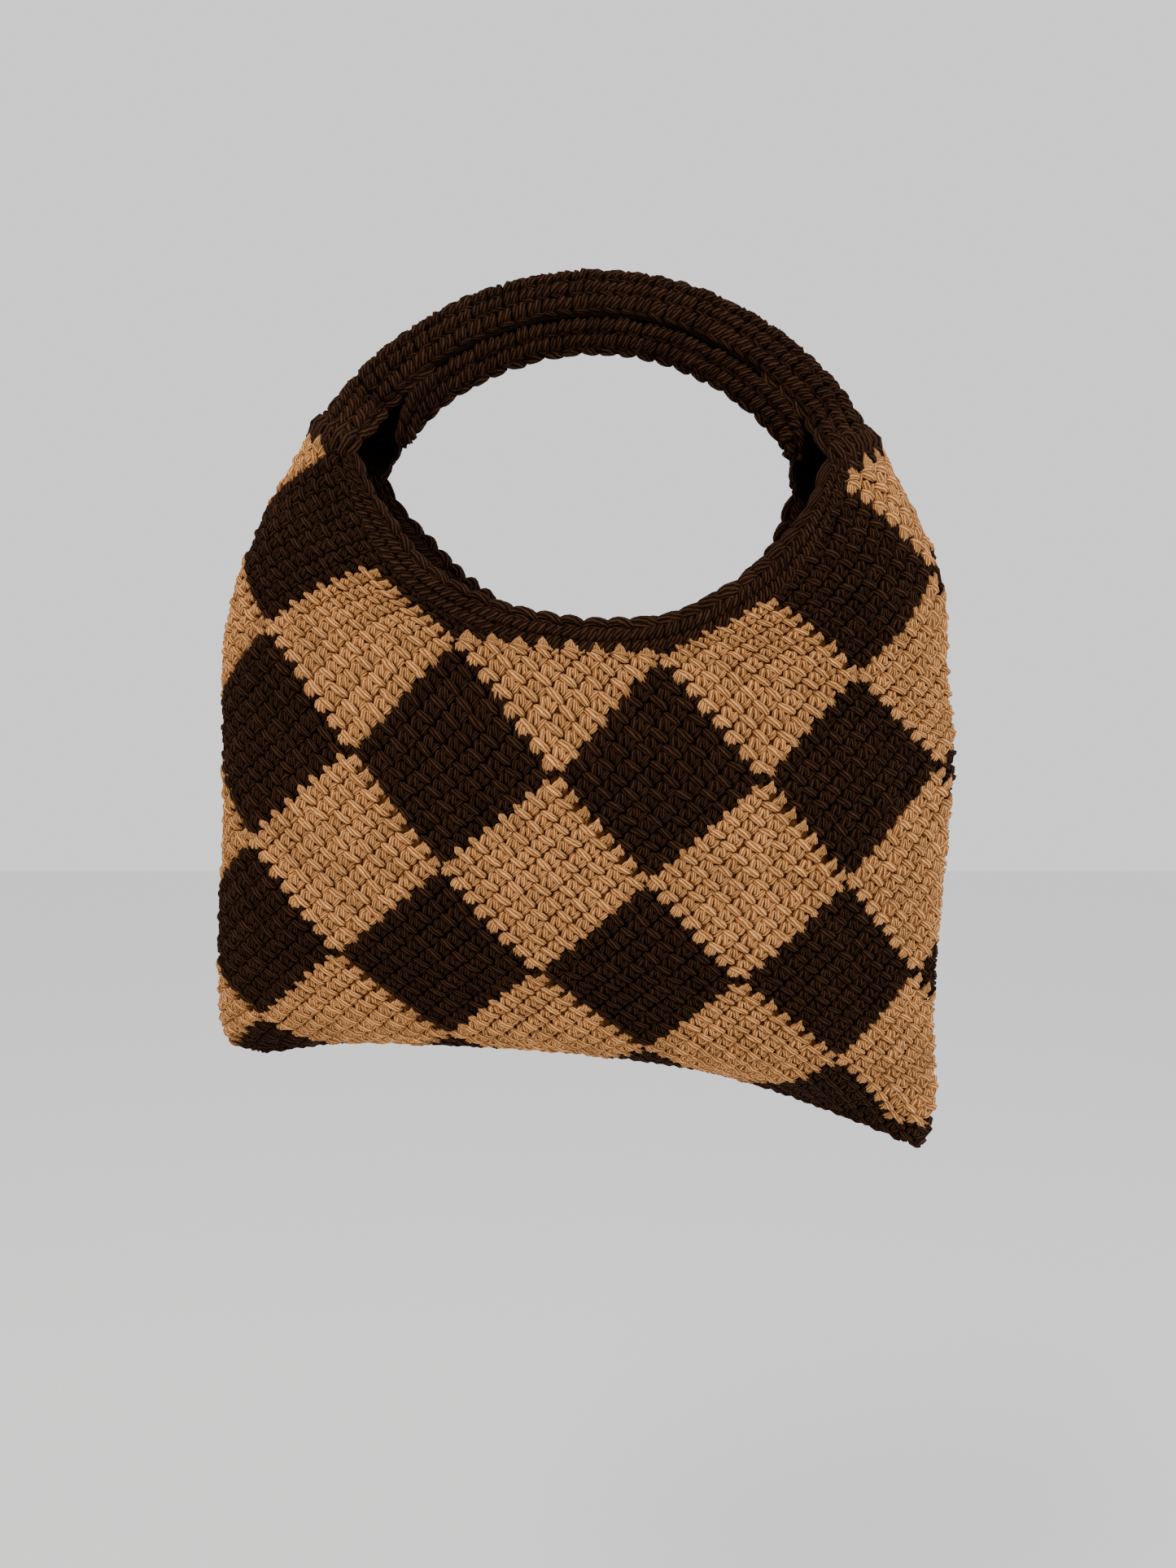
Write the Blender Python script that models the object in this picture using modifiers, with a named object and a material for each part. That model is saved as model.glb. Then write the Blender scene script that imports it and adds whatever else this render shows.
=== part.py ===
"""A crocheted hand bag with a scooped mouth, as it hangs by its folded handle.

Metres, +Z up, the front faces -Y. The origin is the underside of the handle's crown,
where a hook or a hand carries the bag.
"""

import math

import bmesh
import bpy
import numpy as np

# Driving sizes
BODY_WIDTH = 0.279
BODY_DEPTH = 0.082
BODY_HEIGHT = 0.263
SHOULDER_DROP = 0.037
WALL = 0.0045
RIM_HEIGHT = 0.0108
HANDLE_HEIGHT = 0.031
HANDLE_THICKNESS = 0.0155
HANDLE_SEAM_GAP = 0.0016
PIECE_GAP = 0.0005

# The fabric is worked in the round, in units of two stitches, from the bottom seam up.
UNITS_ROUND = 64
ROWS = 56
MOUTH_ROW = 40
MOUTH_FLAT_UNITS = 4
MOUTH_ROUNDING = 2.0
STRAP_UNITS = 8
MOUTH_REACH_UNITS = UNITS_ROUND / 4 - STRAP_UNITS / 2

# Mesh fineness
POUCH_LEVELS = 17
LEVEL_CROWDING = 1.15
RIM_LEVELS = 2
HANDLE_STEPS = 52
STRAP_STEPS = 12
PLAN_SAMPLES = 90
ARCH_SAMPLES = 400
PROBE = 0.25

# One line for each section of the body, at a row of the fabric.
# left, right: side folds as shares of half the body's width.
# z_left, z_mid, z_right: drop below the shoulders as shares of the body's height.
# depth: half thickness as a share of half the body's depth.
# flat: how flat the front is. end_left, end_right: 0.5 is a round side, 1 a sharp fold.
# back_lift: how much higher the back hangs on the left, as a share of the body's height.
SECTION_COLUMNS = (
    "row", "left", "right", "z_left", "z_mid", "z_right", "depth",
    "flat", "end_left", "end_right", "back_lift",
)
SECTIONS = (
    (0, 0.920, 0.930, 0.875, 0.862, 1.012, 0.13, 3.0, 0.50, 0.60, 0.000),
    (2, 0.975, 0.945, 0.865, 0.863, 0.980, 0.34, 3.0, 0.50, 0.60, 0.000),
    (4, 0.995, 0.950, 0.850, 0.858, 0.951, 0.56, 2.8, 0.50, 0.65, 0.000),
    (8, 1.000, 0.945, 0.815, 0.836, 0.892, 0.82, 2.6, 0.50, 0.75, 0.000),
    (16, 1.000, 0.950, 0.700, 0.748, 0.760, 0.95, 2.4, 0.45, 0.80, 0.000),
    (24, 0.985, 0.975, 0.560, 0.617, 0.618, 1.00, 2.4, 0.42, 0.80, 0.000),
    (32, 0.990, 1.000, 0.405, 0.480, 0.458, 1.00, 2.4, 0.50, 0.80, 0.000),
    (40, 0.985, 0.985, 0.260, 0.314, 0.340, 0.98, 2.6, 0.62, 0.75, 0.010),
    (48, 0.900, 0.955, 0.128, 0.245, 0.181, 0.98, 2.8, 0.55, 0.60, 0.030),
    (56, 0.757, 0.797, -0.008, 0.180, 0.011, 0.98, 3.0, 0.45, 0.50, 0.040),
)

# The handle rises over the shoulders as (1 - u^2)^power, u running from fold to fold.
ARCH_POWER = 0.75
# The strap has its full width at the shoulders and is sewn closed past this share of the arch.
STRAP_CLOSED_SHARE = 0.10
# How far the seam lies round to the front of the handle, as a share of its girth.
SEAM_SHIFT = 0.18
# The rims taper over this many units into the strap's edges, down to this share of their height.
RIM_TAPER_UNITS = 3.0
RIM_END_SHARE = 0.2


def column(name, row):
    """A table column at any row, on a smooth curve through the sections."""
    rows = np.array([line[0] for line in SECTIONS], float)
    values = np.array([line[SECTION_COLUMNS.index(name)] for line in SECTIONS], float)
    slopes = np.gradient(values, rows)
    i = int(np.clip(np.searchsorted(rows, row, side="right") - 1, 0, len(rows) - 2))
    span = rows[i + 1] - rows[i]
    t = (row - rows[i]) / span
    return (
        values[i] * (1 + 2 * t) * (1 - t) ** 2
        + slopes[i] * span * t * (1 - t) ** 2
        + values[i + 1] * t * t * (3 - 2 * t)
        + slopes[i + 1] * span * t * t * (t - 1)
    )


def lining_section(row):
    """A closed loop on the inner face: front from left to right, then the back."""
    left = column("left", row) * BODY_WIDTH / 2 - WALL
    right = column("right", row) * BODY_WIDTH / 2 - WALL
    depth = max(column("depth", row) * BODY_DEPTH / 2 - WALL, 0.0)
    angle = np.linspace(-math.pi / 2, math.pi / 2, PLAN_SAMPLES)
    across = np.sin(angle)
    reach = np.where(across < 0, left, right)
    power = np.where(across < 0, column("end_left", row), column("end_right", row))
    fullness = (1 - np.abs(across) ** column("flat", row)).clip(0) ** power
    z_left = column("z_left", row)
    z_mid = column("z_mid", row)
    z_right = column("z_right", row)
    slope = (z_right - z_left) / 2
    bow = (z_right + z_left) / 2 - z_mid
    drop = z_mid + slope * across + bow * across**2
    lift = column("back_lift", row) * fullness * (1 - across) / 2
    floor_wall = WALL * max(0.0, 1 - row / MOUTH_ROW)
    z = floor_wall - SHOULDER_DROP - drop * BODY_HEIGHT
    front = np.stack([across * reach, -fullness * depth, z], axis=1)
    back = np.stack([across * reach, fullness * depth, z + lift * BODY_HEIGHT], axis=1)
    return np.concatenate([front, back[-2:0:-1], front[:1]])


def lining_ring(row, shares):
    """Points of one section at shares of its length round, counted from the left fold."""
    loop = lining_section(row)
    steps = np.linalg.norm(np.diff(loop, axis=0), axis=1)
    length = np.concatenate([[0], np.cumsum(steps)])
    half = length[PLAN_SAMPLES - 1]
    shares = np.asarray(shares, float) % 1.0
    front_part = shares * 2 * half
    back_part = half + (shares * 2 - 1) * (length[-1] - half)
    place = np.where(shares <= 0.5, front_part, back_part)
    return np.stack([np.interp(place, length, loop[:, i]) for i in range(3)], axis=1)


def share_of_unit(unit):
    """A place's share round the loop. Unit 0 is the middle of the front, 16 the right fold."""
    return (unit + UNITS_ROUND / 4) / UNITS_ROUND


def mouth_row(unit):
    """The last row of the pouch at a fabric column: flat in the middle, then a slope."""
    half_round = UNITS_ROUND / 2
    from_middle = abs((unit + half_round / 2) % half_round - half_round / 2)
    slope_units = MOUTH_REACH_UNITS - MOUTH_FLAT_UNITS
    past = from_middle - MOUTH_FLAT_UNITS
    climb = (past + math.hypot(past, MOUTH_ROUNDING)) / 2
    return min(MOUTH_ROW + (ROWS - MOUTH_ROW) * climb / slope_units, ROWS)


def lining_point(unit, row):
    """One point of the inner face, at a fabric column and row."""
    return lining_ring(row, [share_of_unit(unit)])[0]


def lining_normal(unit, row):
    """The outward direction of the wall at a fabric column and row."""
    along = lining_point(unit + PROBE, row) - lining_point(unit - PROBE, row)
    up = lining_point(unit, row + PROBE) - lining_point(unit, row - PROBE)
    normal = np.cross(along, up)
    return normal / np.linalg.norm(normal)


def mouth_edge(unit):
    """The inner face's edge along the mouth."""
    return lining_point(unit, mouth_row(unit))


def rim_direction(unit, middle):
    """Up the wall and square to the mouth's edge, at a column of the mouth's own side."""
    low = max(unit - PROBE, middle - MOUTH_REACH_UNITS)
    high = min(unit + PROBE, middle + MOUTH_REACH_UNITS)
    ahead = mouth_edge(high) - mouth_edge(low)
    normal = lining_normal(unit, mouth_row(unit) - PROBE)
    across = np.cross(normal, ahead)
    return across / np.linalg.norm(across)


def grid_object(name, points, closed_columns, wall, extra_faces=()):
    """A wall from a grid of inner points, thickened outwards."""
    levels, columns = points.shape[:2]
    bm = bmesh.new()
    verts = [[bm.verts.new(point) for point in line] for line in points]
    spans = columns if closed_columns else columns - 1
    for level in range(levels - 1):
        for i in range(spans):
            j = (i + 1) % columns
            bm.faces.new((verts[level][i], verts[level][j], verts[level + 1][j], verts[level + 1][i]))
    for corners in extra_faces:
        bm.faces.new([verts[level][i] for level, i in corners])
    mesh = bpy.data.meshes.new(name)
    bm.to_mesh(mesh)
    bm.free()
    mesh.shade_smooth()
    obj = bpy.data.objects.new(name, mesh)
    thicken = obj.modifiers.new("wall", "SOLIDIFY")
    thicken.thickness = wall
    thicken.offset = 1.0
    return obj


def yarn_material(name, colour):
    """Matt spun yarn."""
    material = bpy.data.materials.new(name)
    material.use_nodes = True
    shader = material.node_tree.nodes["Principled BSDF"]
    shader.inputs["Base Color"].default_value = (*colour, 1.0)
    shader.inputs["Roughness"].default_value = 0.9
    shader.inputs["Metallic"].default_value = 0.0
    return material


def make_pouch():
    """The hollow body: a ring of fabric at each level, closed along the bottom seam."""
    units = [i - UNITS_ROUND // 4 for i in range(UNITS_ROUND)]
    shares = [share_of_unit(unit) for unit in units]
    levels = []
    for level in range(POUCH_LEVELS + 1):
        climb = (level / POUCH_LEVELS) ** LEVEL_CROWDING
        rows = [climb * mouth_row(unit) for unit in units]
        levels.append([lining_ring(row, [share])[0] for row, share in zip(rows, shares)])
    # The bottom seam: each front column is sewn to the back column that lies behind it.
    floor = []
    for i in range(UNITS_ROUND // 2):
        corners = [i, -i, -i - 1, i + 1]
        corners = [(0, index % UNITS_ROUND) for index in corners]
        floor.append(list(dict.fromkeys(corners)))
    return grid_object("pouch", np.array(levels), True, WALL, floor)


def rim_height(from_middle):
    """The band's height, less where it runs into the strap's edges."""
    inside = smooth_step((MOUTH_REACH_UNITS - abs(from_middle)) / RIM_TAPER_UNITS)
    return RIM_HEIGHT * (RIM_END_SHARE + (1 - RIM_END_SHARE) * inside)


def make_rim(name, middle):
    """The dark band along one mouth, from shoulder to shoulder."""
    units = [middle - MOUTH_REACH_UNITS + i for i in range(round(2 * MOUTH_REACH_UNITS) + 1)]
    lines = []
    for level in range(RIM_LEVELS + 1):
        line = []
        for unit in units:
            height = PIECE_GAP + (rim_height(unit - middle) - PIECE_GAP) * level / RIM_LEVELS
            line.append(mouth_edge(unit) + rim_direction(unit, middle) * height)
        lines.append(line)
    return grid_object(name, np.array(lines), False, WALL)


def shoulder_curve(side):
    """The top row of one shoulder, from its front edge to its back edge."""
    middle = side * UNITS_ROUND / 4
    across = np.linspace(-STRAP_UNITS / 2, STRAP_UNITS / 2, STRAP_STEPS + 1)
    return np.array([lining_point(middle + side * unit, ROWS) for unit in across])


def closed_section(share):
    """The sewn strap's inner face: an upright oval, cut open at the seam."""
    height = (HANDLE_HEIGHT - 2 * WALL) / 2
    half_thickness = (HANDLE_THICKNESS - 2 * WALL) / 2
    girth = math.pi * (height + half_thickness)
    turn = (1 - HANDLE_SEAM_GAP / girth) * share + SEAM_SHIFT
    angle = 2 * math.pi * turn
    return height * (1 - math.cos(angle)), half_thickness * math.sin(angle)


def smooth_step(value):
    value = min(max(value, 0.0), 1.0)
    return value * value * (3 - 2 * value)


def arch_path(start, end):
    """Evenly spaced points of the handle's fold line, from the left shoulder to the right."""
    centre = (start[0] + end[0]) / 2
    half_span = (end[0] - start[0]) / 2
    across = np.sin(np.linspace(-math.pi / 2, math.pi / 2, ARCH_SAMPLES))
    base = start[2] + (end[2] - start[2]) * (across + 1) / 2
    crown = HANDLE_HEIGHT - WALL
    rise = (crown - base) * (1 - across**2).clip(0) ** ARCH_POWER
    fine = np.stack([centre + half_span * across, across * 0, base + rise], axis=1)
    steps = np.linalg.norm(np.diff(fine, axis=0), axis=1)
    run = np.concatenate([[0], np.cumsum(steps)])
    stations = np.linspace(0, run[-1], HANDLE_STEPS + 1)
    path = np.stack([np.interp(stations, run, fine[:, i]) for i in range(3)], axis=1)
    return path, run[-1]


def make_handle():
    """The strap: open as a channel at both shoulders, sewn to a tube over the crown."""
    left = shoulder_curve(-1)
    right = shoulder_curve(1)
    fold = STRAP_STEPS // 2
    path, length = arch_path(left[fold], right[fold])
    ahead = np.gradient(path, axis=0)
    ahead /= np.linalg.norm(ahead, axis=1)[:, None]
    seat = np.array([0.0, 0.0, PIECE_GAP])
    lines = []
    for i, (point, tangent) in enumerate(zip(path, ahead)):
        share = i / HANDLE_STEPS
        from_end = min(share, 1 - share)
        on_left = share <= 0.5
        base = left if on_left else right
        rise = (tangent if on_left else -tangent) * from_end * length
        inward = np.array([tangent[2], 0.0, -tangent[0]])
        closing = smooth_step(from_end / STRAP_CLOSED_SHARE)
        line = []
        for j in range(STRAP_STEPS + 1):
            depth, out = closed_section(j / STRAP_STEPS - 0.5)
            tube = point + inward * depth + np.array([0.0, out, 0.0])
            channel = base[j] + rise + seat
            line.append(channel * (1 - closing) + tube * closing)
        lines.append(line[::-1])
    return grid_object("handle", np.array(lines), False, WALL)


def main():
    for obj in list(bpy.data.objects):
        bpy.data.objects.remove(obj)
    bag = bpy.data.collections.new("crochet_bag")
    bpy.context.scene.collection.children.link(bag)
    tan = yarn_material("tan_yarn", (0.56, 0.31, 0.14))
    brown = yarn_material("brown_yarn", (0.035, 0.017, 0.010))
    pieces = (
        (make_pouch(), tan),
        (make_rim("mouth_rim_front", 0), brown),
        (make_rim("mouth_rim_back", UNITS_ROUND / 2), brown),
        (make_handle(), brown),
    )
    for obj, material in pieces:
        obj.data.materials.append(material)
        bag.objects.link(obj)


main()
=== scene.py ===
# %% [markdown]
# # A crocheted hand bag, stitch by stitch
#
# The real bag is crocheted in the round from two worsted yarns, tan and dark brown. The fabric is a
# staggered stitch, and the colours change from unit to unit so that diamonds appear. A dark band edges
# the mouth, and a folded dark strap is the handle.
#
# A bag like this could be a smooth shell with a picture of knitting on it. Here every stitch is real
# geometry instead, because at this distance each one shows its own strands, shadows and gaps. The
# stitches are laid out flat, as on a table, and the flat work is then wrapped round the bag's walls.

# %% Load the frame
import math

import bpy
import numpy as np
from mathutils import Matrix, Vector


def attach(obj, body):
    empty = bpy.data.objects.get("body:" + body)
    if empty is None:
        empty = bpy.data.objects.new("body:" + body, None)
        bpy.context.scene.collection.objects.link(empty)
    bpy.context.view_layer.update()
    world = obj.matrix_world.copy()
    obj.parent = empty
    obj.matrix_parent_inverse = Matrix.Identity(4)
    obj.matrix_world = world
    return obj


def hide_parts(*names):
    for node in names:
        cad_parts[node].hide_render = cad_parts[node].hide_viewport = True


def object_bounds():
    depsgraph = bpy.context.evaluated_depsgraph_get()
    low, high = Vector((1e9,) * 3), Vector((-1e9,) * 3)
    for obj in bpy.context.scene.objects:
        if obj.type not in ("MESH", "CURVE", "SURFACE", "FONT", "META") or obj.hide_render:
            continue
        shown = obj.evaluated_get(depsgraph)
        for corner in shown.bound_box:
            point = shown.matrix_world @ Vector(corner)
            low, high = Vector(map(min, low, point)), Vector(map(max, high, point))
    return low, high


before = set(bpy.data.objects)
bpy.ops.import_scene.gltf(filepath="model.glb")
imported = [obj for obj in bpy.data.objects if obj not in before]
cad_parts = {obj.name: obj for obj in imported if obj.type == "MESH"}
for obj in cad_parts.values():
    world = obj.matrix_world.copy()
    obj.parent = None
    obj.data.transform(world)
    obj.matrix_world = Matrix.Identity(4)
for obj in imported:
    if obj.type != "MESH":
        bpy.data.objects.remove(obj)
cad_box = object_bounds()
print("CAD box", cad_box)

# %% [markdown]
# ## The sizes of the bag and of its fabric
#
# Crochet is counted before it is measured: 64 units of stitches round and 56 rows up, from the bottom
# seam to the shoulders. One table gives the shape of the hanging bag at ten of those rows. The walls of
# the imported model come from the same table, so stitches placed by it sit on those walls.

# %% Sizes
MM = 0.001
BODY_WIDTH = 0.279
BODY_DEPTH = 0.082
BODY_HEIGHT = 0.263
SHOULDER_DROP = 0.037
WALL = 0.0045
RIM_HEIGHT = 0.0108
HANDLE_HEIGHT = 0.031
HANDLE_THICKNESS = 0.0155
HANDLE_SEAM_GAP = 0.0016

UNITS_ROUND = 64
ROWS = 56
UNIT_PITCH = 0.0092
ROW_PITCH = 0.0044
MOUTH_ROW = 40
MOUTH_FLAT_UNITS = 4
MOUTH_ROUNDING = 2.0
STRAP_UNITS = 8
MOUTH_REACH_UNITS = UNITS_ROUND / 4 - STRAP_UNITS / 2

SECTION_COLUMNS = (
    "row", "left", "right", "z_left", "z_mid", "z_right", "depth",
    "flat", "end_left", "end_right", "back_lift",
)
SECTIONS = (
    (0, 0.920, 0.930, 0.875, 0.862, 1.012, 0.13, 3.0, 0.50, 0.60, 0.000),
    (2, 0.975, 0.945, 0.865, 0.863, 0.980, 0.34, 3.0, 0.50, 0.60, 0.000),
    (4, 0.995, 0.950, 0.850, 0.858, 0.951, 0.56, 2.8, 0.50, 0.65, 0.000),
    (8, 1.000, 0.945, 0.815, 0.836, 0.892, 0.82, 2.6, 0.50, 0.75, 0.000),
    (16, 1.000, 0.950, 0.700, 0.748, 0.760, 0.95, 2.4, 0.45, 0.80, 0.000),
    (24, 0.985, 0.975, 0.560, 0.617, 0.618, 1.00, 2.4, 0.42, 0.80, 0.000),
    (32, 0.990, 1.000, 0.405, 0.480, 0.458, 1.00, 2.4, 0.50, 0.80, 0.000),
    (40, 0.985, 0.985, 0.260, 0.314, 0.340, 0.98, 2.6, 0.62, 0.75, 0.010),
    (48, 0.900, 0.955, 0.128, 0.245, 0.181, 0.98, 2.8, 0.55, 0.60, 0.030),
    (56, 0.757, 0.797, -0.008, 0.180, 0.011, 0.98, 3.0, 0.45, 0.50, 0.040),
)
ARCH_POWER = 0.75
STRAP_CLOSED_SHARE = 0.10
SEAM_SHIFT = 0.18
RIM_TAPER_UNITS = 3.0

# %% [markdown]
# ## The walls as functions
#
# `lining_loop` gives one closed section of the bag. `Cloth` keeps a wall as a grid of such places with
# their outward directions, and its `wrap` carries flat work on to the wall: x along a row, y up the
# rows, and height off the surface.

# %% One section of the body
PLAN_SAMPLES = 90


def column(name, row):
    """A table column at any row, on a smooth curve through the sections."""
    rows = np.array([line[0] for line in SECTIONS], float)
    values = np.array([line[SECTION_COLUMNS.index(name)] for line in SECTIONS], float)
    slopes = np.gradient(values, rows)
    i = int(np.clip(np.searchsorted(rows, row, side="right") - 1, 0, len(rows) - 2))
    span = rows[i + 1] - rows[i]
    t = (row - rows[i]) / span
    return (
        values[i] * (1 + 2 * t) * (1 - t) ** 2
        + slopes[i] * span * t * (1 - t) ** 2
        + values[i + 1] * t * t * (3 - 2 * t)
        + slopes[i + 1] * span * t * t * (t - 1)
    )


def lining_loop(row):
    """A closed loop on the inner face: front from left to right, then the back."""
    left = column("left", row) * BODY_WIDTH / 2 - WALL
    right = column("right", row) * BODY_WIDTH / 2 - WALL
    depth = max(column("depth", row) * BODY_DEPTH / 2 - WALL, 0.0)
    across = np.sin(np.linspace(-math.pi / 2, math.pi / 2, PLAN_SAMPLES))
    reach = np.where(across < 0, left, right)
    power = np.where(across < 0, column("end_left", row), column("end_right", row))
    fullness = (1 - np.abs(across) ** column("flat", row)).clip(0) ** power
    z_left = column("z_left", row)
    z_mid = column("z_mid", row)
    z_right = column("z_right", row)
    drop = z_mid + (z_right - z_left) / 2 * across + ((z_right + z_left) / 2 - z_mid) * across**2
    lift = column("back_lift", row) * fullness * (1 - across) / 2
    floor_wall = WALL * max(0.0, 1 - row / MOUTH_ROW)
    z = floor_wall - SHOULDER_DROP - drop * BODY_HEIGHT
    front = np.stack([across * reach, -fullness * depth, z], axis=1)
    back = np.stack([across * reach, fullness * depth, z + lift * BODY_HEIGHT], axis=1)
    return np.concatenate([front, back[-2:0:-1], front[:1]])


def lining_ring(row, units):
    """Points of one section at fabric columns. Column 0 is the middle of the front."""
    loop = lining_loop(row)
    length = np.concatenate([[0], np.cumsum(np.linalg.norm(np.diff(loop, axis=0), axis=1))])
    half = length[PLAN_SAMPLES - 1]
    shares = ((np.asarray(units, float) + UNITS_ROUND / 4) / UNITS_ROUND) % 1.0
    back_part = half + (shares * 2 - 1) * (length[-1] - half)
    place = np.where(shares <= 0.5, shares * 2 * half, back_part)
    return np.stack([np.interp(place, length, loop[:, i]) for i in range(3)], axis=1)


print("section at row 24 is", round(np.ptp(lining_loop(24)[:, 0]) / MM), "mm wide inside")

# %% A wall that flat work can be wrapped on


def unit_vectors(vectors):
    return vectors / np.linalg.norm(vectors, axis=-1)[..., None]


class Cloth:
    """A wall known at an even grid of places, with the outward direction at each."""

    def __init__(self, across, up, inner, normal=None):
        self.across = across
        self.up = up
        self.inner = inner
        if normal is None:
            along = np.gradient(inner, axis=1)
            climb = np.gradient(inner, axis=0)
            normal = unit_vectors(np.cross(along, climb))
        self.normal = normal

    def sample(self, grid, x, y):
        u = (x - self.across[0]) / (self.across[1] - self.across[0])
        v = (y - self.up[0]) / (self.up[1] - self.up[0])
        i = np.clip(u.astype(int), 0, len(self.across) - 2)
        j = np.clip(v.astype(int), 0, len(self.up) - 2)
        fu = (u - i)[:, None]
        fv = (v - j)[:, None]
        low = grid[j, i] * (1 - fu) + grid[j, i + 1] * fu
        high = grid[j + 1, i] * (1 - fu) + grid[j + 1, i + 1] * fu
        return low * (1 - fv) + high * fv

    def wrap(self, x, y, height):
        """Places at a height off the outer face. Height -WALL is the inner face."""
        outward = unit_vectors(self.sample(self.normal, x, y))
        return self.sample(self.inner, x, y) + outward * (WALL + height)[:, None]


# %% The body's wall, with the bottom turned under
GRID_STEP = 0.25
MARGIN_UNITS = 5
UNDER_ROWS = 1.75

body_units = np.arange(-UNITS_ROUND / 4 - MARGIN_UNITS, 3 * UNITS_ROUND / 4 + MARGIN_UNITS, GRID_STEP)
body_rows = np.arange(0, ROWS + GRID_STEP, GRID_STEP)
upright = np.array([lining_ring(row, body_units) for row in body_rows])
upright_normal = unit_vectors(np.cross(np.gradient(upright, axis=1), np.gradient(upright, axis=0)))
under_rows = np.arange(-UNDER_ROWS, 0, GRID_STEP)
under = []
under_normal = []
for row in under_rows:
    turn = -row / UNDER_ROWS * math.pi / 2
    under.append(upright[0] * (1, math.cos(turn), 1))
    under_normal.append(upright_normal[0] * math.cos(turn) + np.array([0, 0, -math.sin(turn)]))
body = Cloth(
    body_units,
    np.concatenate([under_rows, body_rows]),
    np.concatenate([np.array(under), upright]),
    unit_vectors(np.concatenate([np.array(under_normal), upright_normal])),
)
print("body grid", body.inner.shape)


def mouth_row(unit):
    """The last row of the pouch at a fabric column: flat in the middle, then a slope."""
    half_round = UNITS_ROUND / 2
    from_middle = np.abs((unit + half_round / 2) % half_round - half_round / 2)
    past = from_middle - MOUTH_FLAT_UNITS
    climb = (past + np.hypot(past, MOUTH_ROUNDING)) / 2
    slope_units = MOUTH_REACH_UNITS - MOUTH_FLAT_UNITS
    return np.minimum(MOUTH_ROW + (ROWS - MOUTH_ROW) * climb / slope_units, ROWS)


# %% The two rims' walls
RIM_GRID_STEPS = 18


def smooth_step(value):
    value = np.clip(value, 0.0, 1.0)
    return value * value * (3 - 2 * value)


def rim_cloth(middle, first_share, last_share):
    """The band's wall: x is metres along the mouth's edge and y goes from 0 at it to RIM_HEIGHT.

    The shares say how much of the height is left at the two ends.
    """
    units = np.arange(middle - MOUTH_REACH_UNITS, middle + MOUTH_REACH_UNITS + GRID_STEP, GRID_STEP)
    rows = mouth_row(units)
    edge = body.sample(body.inner, units, rows)
    normal = unit_vectors(body.sample(body.normal, units, rows - GRID_STEP))
    up = unit_vectors(np.cross(normal, np.gradient(edge, axis=0)))
    inside = smooth_step((MOUTH_REACH_UNITS - np.abs(units - middle)) / RIM_TAPER_UNITS)
    end_share = np.where(units < middle, first_share, last_share)
    taper = end_share + (1 - end_share) * inside
    steps = np.linalg.norm(np.diff(edge, axis=0), axis=1)
    run = np.concatenate([[0], np.cumsum(steps)])
    places = np.linspace(0, run[-1], len(units))
    even_edge = np.stack([np.interp(places, run, edge[:, i]) for i in range(3)], axis=1)
    rising = up * taper[:, None]
    even_rising = np.stack([np.interp(places, run, rising[:, i]) for i in range(3)], axis=1)
    heights = np.linspace(0, RIM_HEIGHT, RIM_GRID_STEPS + 1)
    cloth = Cloth(places, heights, even_edge + even_rising * heights[:, None, None])
    cloth.units = np.interp(places, run, units)
    return cloth


rim_front = rim_cloth(0, 0.45, 0.6)
rim_back = rim_cloth(UNITS_ROUND / 2, 0.8, 0.4)
print("rims", round(rim_front.across[-1] / MM), "and", round(rim_back.across[-1] / MM), "mm along")

# %% The handle's wall
STATIONS = 104
ROUND_STEPS = 40
ARCH_SAMPLES = 400
# The back edge bulges into the opening near each end: how far, where from the end, and how widely.
LEFT_LIP = (0.0062, 0.018, 0.014)
RIGHT_LIP = (0.005, 0.010, 0.014)


def shoulder_curve(side):
    """The top row of one shoulder, from its front edge to its back edge."""
    across = np.linspace(-STRAP_UNITS / 2, STRAP_UNITS / 2, ROUND_STEPS + 1)
    units = side * (UNITS_ROUND / 4 + across)
    return body.sample(body.inner, units, np.full(len(units), float(ROWS)))


def arch_path(start, end):
    """Even points of the handle's fold line, from the left shoulder to the right."""
    centre = (start[0] + end[0]) / 2
    half_span = (end[0] - start[0]) / 2
    across = np.sin(np.linspace(-math.pi / 2, math.pi / 2, ARCH_SAMPLES))
    base = start[2] + (end[2] - start[2]) * (across + 1) / 2
    rise = (HANDLE_HEIGHT - WALL - base) * (1 - across**2).clip(0) ** ARCH_POWER
    fine = np.stack([centre + half_span * across, across * 0, base + rise], axis=1)
    run = np.concatenate([[0], np.cumsum(np.linalg.norm(np.diff(fine, axis=0), axis=1))])
    stations = np.linspace(0, run[-1], STATIONS + 1)
    return np.stack([np.interp(stations, run, fine[:, i]) for i in range(3)], axis=1), run[-1]


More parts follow.
